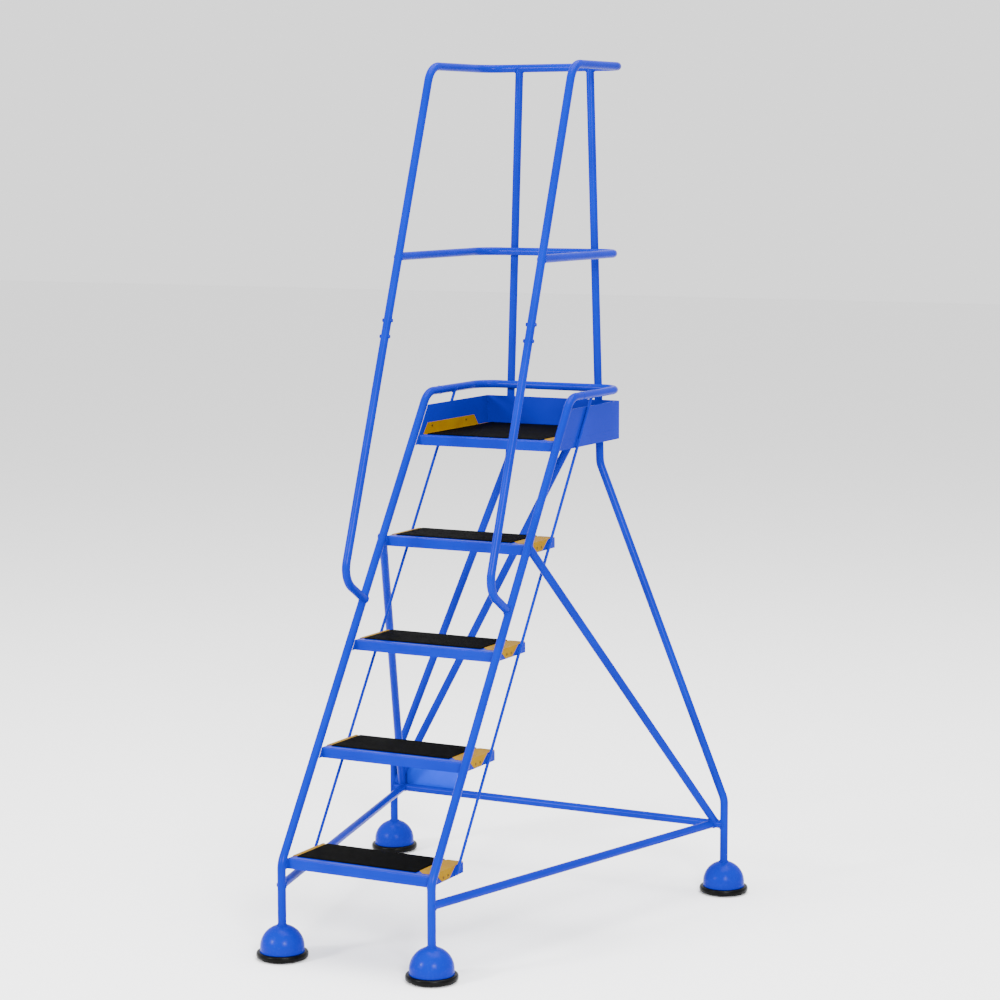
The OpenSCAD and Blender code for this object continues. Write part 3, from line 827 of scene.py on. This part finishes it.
@dataclass
class Welder:
    """Lays weld beads where the frame's pieces meet."""

    skeleton: Skeleton
    paintshop: Paintshop
    throat: float = 0.0021
    fine_throat: float = 0.0014
    corner_lead: float = 0.0085
    web_t: float = 0.0018
    butt_sink: float = 0.0019
    brace_drop: float = 0.0015
    brace_out: float = 0.004
    brace_lead: float = 0.003
    brace_rise: float = 0.009
    diagonal_inset: float = 0.012
    diagonal_rise: float = 0.014
    crossing_half_gap: float = 0.0042
    crossing_half_length: float = 0.0065
    ripple: float = 0.12
    ripple_pitch: float = 0.0032
    sides: int = 8

    def ring(self, branch: Line, radius: float, main: Optional[Line] = None, main_r: float = 0.0):
        """A bead round the end of a tube, following the tube that it is welded to.

        Args:
            branch: the tube's centre line, starting at the joint.
            radius: its outer radius.
            main: the centre line of the tube that it meets, or None for a flat joint.
            main_r: that tube's outer radius.

        Returns:
            The bead.
        """
        steps = max(24, int(2 * math.pi * radius / self.ripple_pitch) * 4)
        bpy.ops.mesh.primitive_torus_add(major_segments=steps, minor_segments=self.sides,
            major_radius=radius + self.throat * 0.35, minor_radius=self.throat,
            location=(0, 0, 0))
        bead = bpy.context.object
        turn = branch.direction.to_track_quat("Z", "Y").to_matrix()
        for vertex in bead.data.vertices:
            across = Vector((vertex.co.x, vertex.co.y, 0.0))
            middle = across.normalized() * (radius + self.throat * 0.35)
            around = math.atan2(across.y, across.x) * radius / self.ripple_pitch
            swell = 1.0 + self.ripple * math.cos(2 * math.pi * round(around, 3))
            offset = (vertex.co - middle) * swell
            place = branch.start + turn @ (middle + offset)
            vertex.co = place + branch.direction * self._rise(branch, turn @ middle, main, main_r)
        return bead

    def _rise(self, branch: Line, spoke: Vector, main: Optional[Line], main_r: float) -> float:
        """How far along the branch its wall meets the main tube.

        Args:
            branch: the branch's centre line.
            spoke: from that line to the wall.
            main: the main tube's centre line, or None.
            main_r: the main tube's radius.

        Returns:
            The distance from the branch's start.
        """
        if main is None:
            return 0.0
        axis = main.direction
        gap = branch.start + spoke - main.start
        flat_gap = gap - axis * gap.dot(axis)
        flat_way = branch.direction - axis * branch.direction.dot(axis)
        a = flat_way.length_squared
        b = flat_gap.dot(flat_way)
        c = flat_gap.length_squared - main_r * main_r
        return (-b + math.sqrt(max(b * b - a * c, 0.0))) / a

    def seam(self, start: Vector, end: Vector, throat: Optional[float] = None) -> bpy.types.Object:
        """A short straight bead with rounded ends.

        Args:
            start: one end.
            end: the other.
            throat: its radius, if not the usual one.

        Returns:
            The bead.
        """
        way = end - start
        throat = throat or self.throat
        rings = max(10, int(way.length / self.ripple_pitch) * 4)
        bpy.ops.mesh.primitive_cylinder_add(vertices=self.sides, radius=throat, depth=1.0,
            end_fill_type="TRIFAN")
        bead = bpy.context.object
        finish_with(bead, "SUBSURF", subdivision_type="SIMPLE", levels=1, render_levels=1)
        bpy.ops.object.mode_set(mode="EDIT")
        bpy.ops.mesh.select_all(action="SELECT")
        for cut in range(1, rings):
            z = cut / rings - 0.5
            bpy.ops.mesh.bisect(plane_co=(0, 0, z), plane_no=(0, 0, 1))
            bpy.ops.mesh.select_all(action="SELECT")
        leave_edit()
        turn = way.to_track_quat("Z", "Y").to_matrix()
        for vertex in bead.data.vertices:
            share = vertex.co.z + 0.5
            end_gap = min(share, 1 - share) * way.length
            taper = math.sqrt(min(1.0, max(0.0, end_gap / throat)))
            swell = 1.0 + self.ripple * math.cos(2 * math.pi * share * way.length / self.ripple_pitch)
            flat = Vector((vertex.co.x, vertex.co.y, 0.0)) * (0.2 + 0.8 * taper) * swell
            vertex.co = start + way * share + turn @ flat
        return bead

    def lay(self, name: str, beads: Sequence[bpy.types.Object]) -> None:
        """Joins beads into one painted piece of the frame.

        Args:
            name: the piece's name.
            beads: its beads.
        """
        piece = join(name, beads)
        recalculate(piece)
        smooth(piece, 80.0)
        self.paintshop.dress(piece, Look.FRAME)
        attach(piece, "frame")
        LOG.info("%s: %d beads", name, len(beads))

    def handrail_welds(self) -> None:
        """Beads of the handrails, the mid rail and the tops of the rear legs."""
        lines = self.skeleton
        r = lines.tube_r
        beads = []
        for side in Side:
            rail = lines.handrail(side)
            front = Vector((rail.start.x, lines.handrail_y(lines.mid_z), lines.mid_z))
            beads.append(self.ring(Line(front, front + Vector((0, 1, 0))), r, rail, r))
            waist = Vector((side.value * lines.waist_x, lines.rear_y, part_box("tread_4")[1].z))
            top_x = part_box("right_rear_leg")[0].x + r
            top = Vector((side.value * top_x, lines.rear_y, lines.top_z))
            beads.append(self.ring(Line(top, waist), r, lines.across(lines.rear_y, lines.top_z), r))
            foot = Vector((rail.start.x, lines.stile_y(lines.foot_z), lines.foot_z))
            up = foot + Vector((0, -math.sin(lines.foot_lean), math.cos(lines.foot_lean)))
            beads.append(self.ring(Line(foot, up), r, lines.stile(side), r))
        self.lay("handrail_welds", beads)

    def crossing_welds(self) -> None:
        """Beads above and below the places where the rails pass in front of the rear legs."""
        lines = self.skeleton
        touch_y = lines.rear_y - lines.tube_r
        top_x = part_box("right_rear_leg")[0].x + lines.tube_r
        beads = []
        for z in (lines.hoop_z, lines.mid_z):
            share = (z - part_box("platform_pan")[1].z) / (lines.top_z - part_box("platform_pan")[1].z)
            x = lines.waist_x + (top_x - lines.waist_x) * share
            for side in Side:
                for way in (-1, 1):
                    middle = Vector((side.value * x, touch_y, z + way * self.crossing_half_gap))
                    half = Vector((self.crossing_half_length, 0, 0))
                    beads.append(self.seam(middle - half, middle + half))
        self.lay("crossing_welds", beads)

    def base_welds(self) -> None:
        """Beads of the base rails, the cross rail and the braces."""
        lines = self.skeleton
        r = lines.tube_r
        cross = lines.across(lines.rear_y, lines.base_z)
        beads = []
        for side in Side:
            rail = lines.base_rail(side)
            leg = lines.rear_leg(side)
            beads.append(self.ring(rail, r, lines.front_leg(side), r))
            beads.append(self.ring(Line(rail.end, rail.start), r, cross, r))
            end = Vector((leg.start.x, lines.rear_y, lines.base_z))
            beads.append(self.ring(Line(end, Vector((0, lines.rear_y, lines.base_z))), r, leg, r))
            brace_z = lines.deck_z(4) - self.brace_drop
            top = Vector((side.value * lines.stile_x, lines.stile_y(brace_z), brace_z))
            corner = rail.end + Vector((side.value * self.brace_out, -self.brace_lead, self.brace_rise))
            beads.append(self.ring(Line(top, corner), r, lines.stile(side), r))
            beads.append(self.ring(Line(corner, top), r, rail, r))
        left = lines.rear_leg(Side.LEFT)
        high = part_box("rear_diagonal_brace")[1]
        start = Vector((left.start.x + self.diagonal_inset, lines.rear_y, lines.base_z + self.diagonal_rise))
        end = Vector((high.x - self.diagonal_inset, lines.inner_y, high.z))
        beads.append(self.ring(Line(start, end), r, left, r))
        self.lay("base_welds", beads)

    def stile_welds(self) -> None:
        """Butt joints of the hoop and the corners of the treads on the stiles."""
        lines = self.skeleton
        beads = []
        for side in Side:
            joint = Vector((side.value * lines.stile_x, lines.hoop_front_y, lines.hoop_z))
            beads.append(self.ring(Line(joint, joint + Vector((0, 1, 0))), lines.tube_r - self.butt_sink))
            for level in range(1, 6):
                z = lines.deck_z(level)
                x = side.value * (lines.pan_x + 0.0002)
                low_z = z - lines.lip_h + 0.004
                low = Vector((x, lines.stile_y(low_z) + self.corner_lead, low_z))
                high = Vector((x, lines.stile_y(z - 0.002) + self.corner_lead, z - 0.002))
                beads.append(self.seam(low, high, self.fine_throat))
        self.lay("stile_welds", beads)

    def web(self, side: Side, level: int) -> bpy.types.Object:
        """The welded web that closes the corner between a stile and a pan's upright front edge.

        Args:
            side: which stile.
            level: which pan.

        Returns:
            The web.
        """
        lines = self.skeleton
        high_z = lines.deck_z(level) - 0.001
        low_z = high_z - lines.lip_h + 0.002
        nose = lines.stile_y(lines.deck_z(level)) + lines.nose_lead + 0.0012
        place = (side.value * (lines.pan_x - 0.0002), nose, high_z)
        bpy.ops.mesh.primitive_cube_add(size=1.0, location=place, scale=(self.web_t, 0.002, 0.002))
        web = settle(bpy.context.object)
        pick(web, "FACE", lambda middle: middle.z < high_z - 0.0009)
        bpy.ops.transform.translate(value=(0, 0, low_z - high_z + 0.001))
        leave_edit()
        pick(web, "VERT", lambda point: point.y < nose and point.z < low_z + 0.001)
        bpy.ops.transform.translate(value=(0, lines.stile_y(low_z) - lines.stile_y(high_z), 0))
        leave_edit()
        finish_with(web, "BEVEL", width=0.0004, segments=2)
        return web

    def webs(self) -> None:
        """The webs at both ends of every pan."""
        self.lay("end_webs", [self.web(side, level) for side in Side for level in range(1, 6)])

    def rod_welds(self) -> None:
        """Beads where the tie rods are fixed to the treads and the hoop."""
        lines = self.skeleton
        beads = []
        for side in Side:
            x = side.value * (lines.pan_x + 0.0008)
            rod_top_y = lines.stile_y(lines.hoop_z) + lines.rod_lead
            rod_top = Vector((side.value * lines.rod_x, rod_top_y, lines.hoop_z))
            down = Vector((0, -math.sin(lines.lean), -math.cos(lines.lean)))
            hoop = Line(Vector((side.value * lines.stile_x, 0, lines.hoop_z)),
                Vector((side.value * lines.stile_x, 1, lines.hoop_z)))
            beads.append(self.ring(Line(rod_top, rod_top + down), lines.rod_r, hoop, lines.tube_r))
            for level in range(1, 6):
                z = lines.deck_z(level)
                for edge in (-1, 1):
                    high = Vector((x, lines.stile_y(z - 0.003) + lines.rod_lead + edge * 0.0032, z - 0.003))
                    low_z = z - lines.lip_h + 0.003
                    low = Vector((x, lines.stile_y(low_z) + lines.rod_lead + edge * 0.0032, low_z))
                    beads.append(self.seam(low, high))
        self.lay("rod_welds", beads)


# ---------------------------------------------------------------- treads


@dataclass
class RibbedMat:
    """A rubber mat with fine ribs across the tread, in place of the frame's plain slab."""

    node: str
    paintshop: Paintshop
    pitch: float = 0.0062
    rib_h: float = 0.0009
    rib_w: float = 0.0034
    edge: float = 0.0006

    def build(self) -> bpy.types.Object:
        """Makes the mat.

        Returns:
            The mat, riding on the frame.
        """
        low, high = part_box(self.node)
        size = high - low
        base_h = size.z - self.rib_h
        clear_selection()
        bpy.ops.mesh.primitive_cube_add(size=1.0, location=(low + high) / 2 - Vector((0, 0, self.rib_h / 2)),
            scale=(size.x, size.y, base_h))
        base = settle(bpy.context.object)
        finish_with(base, "BEVEL", width=self.edge, segments=2)
        count = int((size.y - 2 * self.edge) / self.pitch)
        first = (size.y - (count - 1) * self.pitch) / 2
        bpy.ops.mesh.primitive_cube_add(size=1.0,
            location=((low.x + high.x) / 2, low.y + first, high.z - self.rib_h / 2 - 0.0001),
            scale=(size.x - 2 * self.edge, self.rib_w, self.rib_h + 0.0002))
        rib = settle(bpy.context.object)
        finish_with(rib, "BEVEL", width=self.rib_h * 0.45, segments=2)
        finish_with(rib, "ARRAY", count=count, use_relative_offset=False, use_constant_offset=True,
            constant_offset_displace=(0, self.pitch, 0))
        mat = join(self.node + "_ribbed", [base, rib])
        smooth(mat, 35.0)
        self.paintshop.dress(mat, Look.MAT)
        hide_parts(self.node)
        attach(mat, "frame")
        LOG.info("%s: %d ribs", mat.name, count)
        return mat


@dataclass
class SignLabel:
    """A blank printed film on the front of the sign plate."""

    paintshop: Paintshop
    left: float = 0.044
    right: float = 0.008
    above: float = 0.012
    below: float = 0.010
    thickness: float = 0.0004
    corner: float = 0.009

    def build(self) -> bpy.types.Object:
        """Makes the label.

        Returns:
            The label, riding on the frame.
        """
        low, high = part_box("sign_plate")
        start = Vector((low.x + self.left, low.y - self.thickness, low.z + self.below))
        end = Vector((high.x - self.right, low.y, high.z - self.above))
        bpy.ops.mesh.primitive_cube_add(size=1.0, location=(start + end) / 2, scale=end - start)
        label = settle(bpy.context.object)
        pick(label, "EDGE", lambda middle: self._at_corner(middle, start, end))
        bpy.ops.mesh.bevel(offset=self.corner, segments=8, affect="EDGES")
        leave_edit()
        label.name = "sign_label"
        smooth(label, 30.0)
        self.paintshop.dress(label, Look.LABEL)
        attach(label, "frame")
        LOG.info("sign_label")
        return label

    @staticmethod
    def _at_corner(point: Vector, start: Vector, end: Vector) -> bool:
        """Whether a point lies on one of the label's four short edges.

        Args:
            point: the point.
            start: the label's low corner.
            end: the label's high corner.

        Returns:
            True if it does.
        """
        near_x = min(abs(point.x - start.x), abs(point.x - end.x)) < 1e-5
        near_z = min(abs(point.z - start.z), abs(point.z - end.z)) < 1e-5
        return near_x and near_z


# ---------------------------------------------------------------- feet


@dataclass
class Foot:
    """A pressed dome and its moulded rubber floor ring."""

    name: str
    x: float
    y: float
    paintshop: Paintshop
    rim_z: float
    top_z: float
    ring_low: float
    ring_high: float
    dome_r: float = 0.0565
    ring_r: float = 0.0665
    wall: float = 0.002
    segments: int = 96

    def dome(self) -> bpy.types.Object:
        """Presses the dome from a sphere: flat seat, half round, straight skirt, then its wall.

        Returns:
            The dome.
        """
        seat_r = 0.0125
        flat = self.dome_r - math.sqrt(self.dome_r ** 2 - seat_r ** 2)
        centre_z = self.top_z + flat - self.dome_r
        clear_selection()
        bpy.ops.mesh.primitive_uv_sphere_add(segments=self.segments, ring_count=48, radius=self.dome_r,
            location=(self.x, self.y, centre_z))
        dome = settle(bpy.context.object)
        self._cut(dome, self.top_z, keep_above=False)
        self._cut(dome, centre_z, keep_above=True)
        pick(dome, "VERT", lambda point: abs(point.z - centre_z) < 1e-5)
        bpy.ops.mesh.select_mode(type="EDGE")
        bpy.ops.mesh.extrude_region_move(TRANSFORM_OT_translate={"value": (0, 0, self.rim_z - centre_z)})
        leave_edit()
        recalculate(dome)
        finish_with(dome, "SOLIDIFY", thickness=self.wall, offset=-1.0)
        dome.name = self.name + "_dome"
        smooth(dome, 40.0)
        return dome

    def _cut(self, piece: bpy.types.Object, z: float, keep_above: bool) -> None:
        """Cuts a piece level at a height and throws one half away.

        Args:
            piece: the object.
            z: the height.
            keep_above: whether the upper half stays.
        """
        take(piece)
        bpy.ops.object.mode_set(mode="EDIT")
        bpy.ops.mesh.select_all(action="SELECT")
        bpy.ops.mesh.bisect(plane_co=(0, 0, z), plane_no=(0, 0, 1), clear_inner=keep_above,
            clear_outer=not keep_above)
        leave_edit()

    def ring(self) -> bpy.types.Object:
        """Moulds the floor ring: a round bulge outside, a flat foot and two fine mould lines.

        Returns:
            The ring.
        """
        height = self.ring_high - self.ring_low
        inner = self.dome_r - 0.0055
        middle_r = (self.ring_r + inner) / 2
        half_w = (self.ring_r - inner) / 2
        clear_selection()
        bpy.ops.mesh.primitive_torus_add(major_segments=self.segments, minor_segments=40,
            major_radius=middle_r, minor_radius=half_w, location=(self.x, self.y, 0))
        ring = settle(bpy.context.object)
        middle_z = (self.ring_low + self.ring_high) / 2
        for vertex in ring.data.vertices:
            out = Vector((vertex.co.x - self.x, vertex.co.y - self.y, 0.0))
            across = (out.length - middle_r) / half_w
            up = vertex.co.z / half_w
            squared = max(abs(across), abs(up), 1e-6) / math.hypot(across, up)
            push = 1.0 + (1.0 / max(squared, 0.7072) - 1.0) * (0.55 if across < 0 or up < 0 else 0.2)
            line = 0.00035 if 0.25 < up < 0.45 and across > 0 else 0.0
            radius = middle_r + min(max(across * push, -1), 1) * half_w - line
            place = out.normalized() * radius
            z = middle_z + min(max(up * push, -1), 1) * height / 2
            vertex.co = Vector((self.x + place.x, self.y + place.y, z))
        ring.name = self.name + "_ring"
        smooth(ring, 50.0)
        return ring

    def build(self) -> list[bpy.types.Object]:
        """Makes and paints the foot's pieces.

        Returns:
            The dome and the ring.
        """
        dome = self.paintshop.dress(self.dome(), Look.FRAME)
        ring = self.paintshop.dress(self.ring(), Look.RING)
        for piece, look in ((dome, Look.FRAME), (ring, Look.RING)):
            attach(piece, "frame")
        LOG.info("%s: dome and ring", self.name)
        return [dome, ring]


@dataclass
class Feet:
    """The four domed feet, in place of the frame's plain ones."""

    skeleton: Skeleton
    paintshop: Paintshop
    welder: Welder

    def places(self) -> Iterator[tuple[str, float, float]]:
        """The name and place of each foot."""
        for depth, x, y in (("front", self.skeleton.stile_x, self.skeleton.front_y),
                            ("rear", self.skeleton.rear_x, self.skeleton.rear_y)):
            for side in Side:
                yield f"{depth}_{side.name.lower()}", side.value * x, y

    def build(self) -> None:
        """Makes the springs, the domes, the rings and the beads under the legs."""
        for name, x, y in self.places():
            depth, side = name.split("_")
            Spring(f"{depth[0]}{side[0]}_spring", name + "_lift", x, y, self.paintshop).build()
        dome_low, dome_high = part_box("foot_domes")
        ring_low, ring_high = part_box("floor_rings")
        domes, rings, beads = [], [], []
        for name, x, y in self.places():
            foot = Foot(name, x, y, self.paintshop, dome_low.z, dome_high.z, ring_low.z, ring_high.z)
            dome, ring = foot.build()
            domes.append(dome)
            rings.append(ring)
            seat = Vector((x, y, dome_high.z + 0.0004))
            beads.append(self.welder.ring(Line(seat, seat + Vector((0, 0, 1))), self.skeleton.tube_r))
        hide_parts("foot_domes")
        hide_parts("floor_rings")
        self.welder.lay("dome_welds", beads)


# ---------------------------------------------------------------- springs


@dataclass
class Spring:
    """A coil spring, in place of the frame's coarse one."""

    node: str
    joint: str
    x: float
    y: float
    paintshop: Paintshop
    wire_r: float = 0.0011
    coil_r: float = 0.0072
    turns: int = 7
    travel: float = 0.005
    play: float = 0.0002

    def build(self) -> bpy.types.Object:
        """Winds the spring and grinds its ends flat.

        Returns:
            The spring, riding on the frame.
        """
        low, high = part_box(self.node)
        height = high.z - low.z
        clear_selection()
        bpy.ops.mesh.primitive_circle_add(vertices=10, radius=self.wire_r, fill_type="NOTHING",
            location=(self.x + self.coil_r, self.y, low.z + self.wire_r * 0.6),
            rotation=(math.pi / 2, 0, 0))
        wire = settle(bpy.context.object)
        for vertex in wire.data.vertices:
            vertex.co -= Vector((self.x, self.y, 0))
        pitch = (height - self.wire_r * 1.2) / self.turns
        finish_with(wire, "SCREW", axis="Z", angle=2 * math.pi, screw_offset=pitch, iterations=self.turns,
            steps=24, render_steps=24, use_merge_vertices=False)
        for vertex in wire.data.vertices:
            vertex.co += Vector((self.x, self.y, 0))
        self._close(wire)
        for vertex in wire.data.vertices:
            vertex.co.z = min(max(vertex.co.z, low.z), high.z)
        recalculate(wire)
        wire.name = self.node + "_coil"
        smooth(wire, 50.0)
        self.paintshop.dress(wire, Look.SPRING)
        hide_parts(self.node)
        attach(wire, "frame")
        (height - self.travel - self.play) / height
        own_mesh(wire)
        LOG.info("%s: %d turns", wire.name, self.turns)
        return wire

    @staticmethod
    def _close(wire: bpy.types.Object) -> None:
        """Caps both ends of the wire.

        Args:
            wire: the open coil.
        """
        mesh = bmesh.new()
        mesh.from_mesh(wire.data)
        loose = [edge for edge in mesh.edges if edge.is_boundary]
        if loose:
            bmesh.ops.holes_fill(mesh, edges=loose)
        mesh.to_mesh(wire.data)
        mesh.free()


# ---------------------------------------------------------------- painting the frame's own pieces


@dataclass
class FrameDresser:
    """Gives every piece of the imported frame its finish."""

    paintshop: Paintshop

    def dress_all(self) -> None:
        """Paints each node by its material slot."""
        looks = {look.slot: look for look in Look if look is not Look.LABEL}
        slots = {part["node"]: part["material_slot"] for part in frame["record"]["subparts"]}
        for name, node in frame["nodes"].items():
            painted_over = name == "handrail_bolts"
            self.paintshop.dress(node, Look.FRAME if painted_over else looks[slots[name]])
        LOG.info("painted %d nodes of the frame", len(frame["nodes"]))


# ---------------------------------------------------------------- studio


@dataclass
class Studio:
    """A pale floor, soft light and the camera."""

    paintshop: Paintshop
    floor_size: float = 60.0
    camera_place: Colour = (3.4690, -6.3709, 2.0165)
    yaw: float = math.radians(27.742)
    pitch: float = math.radians(-7.062)
    roll: float = math.radians(-0.104)
    focal: float = 2.79398
    sensor_mm: float = 36.0
    sky: float = 1.6

    def camera(self) -> None:
        """Sets up the camera."""
        data = bpy.data.cameras.new("camera")
        data.sensor_width = self.sensor_mm
        data.lens = self.focal * self.sensor_mm
        data.clip_end = 100.0
        camera = bpy.data.objects.new("camera", data)
        bpy.context.scene.collection.objects.link(camera)
        aim = Matrix.Rotation(self.yaw, 4, "Z") @ Matrix.Rotation(math.pi / 2 + self.pitch, 4, "X")
        camera.matrix_world = Matrix.Translation(self.camera_place) @ aim @ Matrix.Rotation(self.roll, 4, "Z")
        bpy.context.scene.camera = camera

    def floor(self) -> None:
        """Lays the floor."""
        clear_selection()
        bpy.ops.mesh.primitive_plane_add(size=self.floor_size, location=(0, 0, 0))
        floor = bpy.context.object
        floor.name = "floor"
        floor.data.materials.append(Backdrop().material())

    def lights(self) -> None:
        """Hangs large soft lamps and a pale sky."""
        world = bpy.data.worlds.new("sky")
        world.use_nodes = True
        backdrop = world.node_tree.nodes["Background"]
        backdrop.inputs["Color"].default_value = (1.0, 1.0, 1.0, 1.0)
        backdrop.inputs["Strength"].default_value = self.sky
        bpy.context.scene.world = world
        self._lamp("key_lamp", (4.6, -5.2, 3.6), 1.6, 900.0)
        self._lamp("left_lamp", (-3.4, -6.0, 3.4), 1.2, 700.0)
        self._lamp("top_lamp", (0.5, 0.6, 6.5), 5.0, 850.0)

    def _lamp(self, name: str, place: Colour, size: float, power: float) -> None:
        """Hangs one square lamp that faces the steps.

        Args:
            name: its name.
            place: where it hangs.
            size: its width in metres.
            power: its power in watts.
        """
        data = bpy.data.lights.new(name, "AREA")
        data.size = size
        data.energy = power
        lamp = bpy.data.objects.new(name, data)
        lamp.location = place
        aim = Vector((0.0, 0.0, 1.0)) - Vector(place)
        lamp.rotation_euler = aim.to_track_quat("-Z", "Y").to_euler()
        bpy.context.scene.collection.objects.link(lamp)


def main() -> None:
    """Builds the steps in order."""
    logging.basicConfig(level=logging.INFO, format="%(message)s")
    paintshop = Paintshop()
    studio = Studio(paintshop)
    studio.camera()
    studio.floor()
    studio.lights()
    FrameDresser(paintshop).dress_all()
    skeleton = Skeleton()
    welder = Welder(skeleton, paintshop)
    for node in [f"tread_mat_{level}" for level in range(1, 5)] + ["platform_mat"]:
        RibbedMat(node, paintshop).build()
    SignLabel(paintshop).build()
    Feet(skeleton, paintshop, welder).build()
    welder.handrail_welds()
    welder.crossing_welds()
    welder.base_welds()
    welder.stile_welds()
    welder.rod_welds()
    welder.webs()
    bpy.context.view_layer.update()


if __name__ == "__main__":
    main()
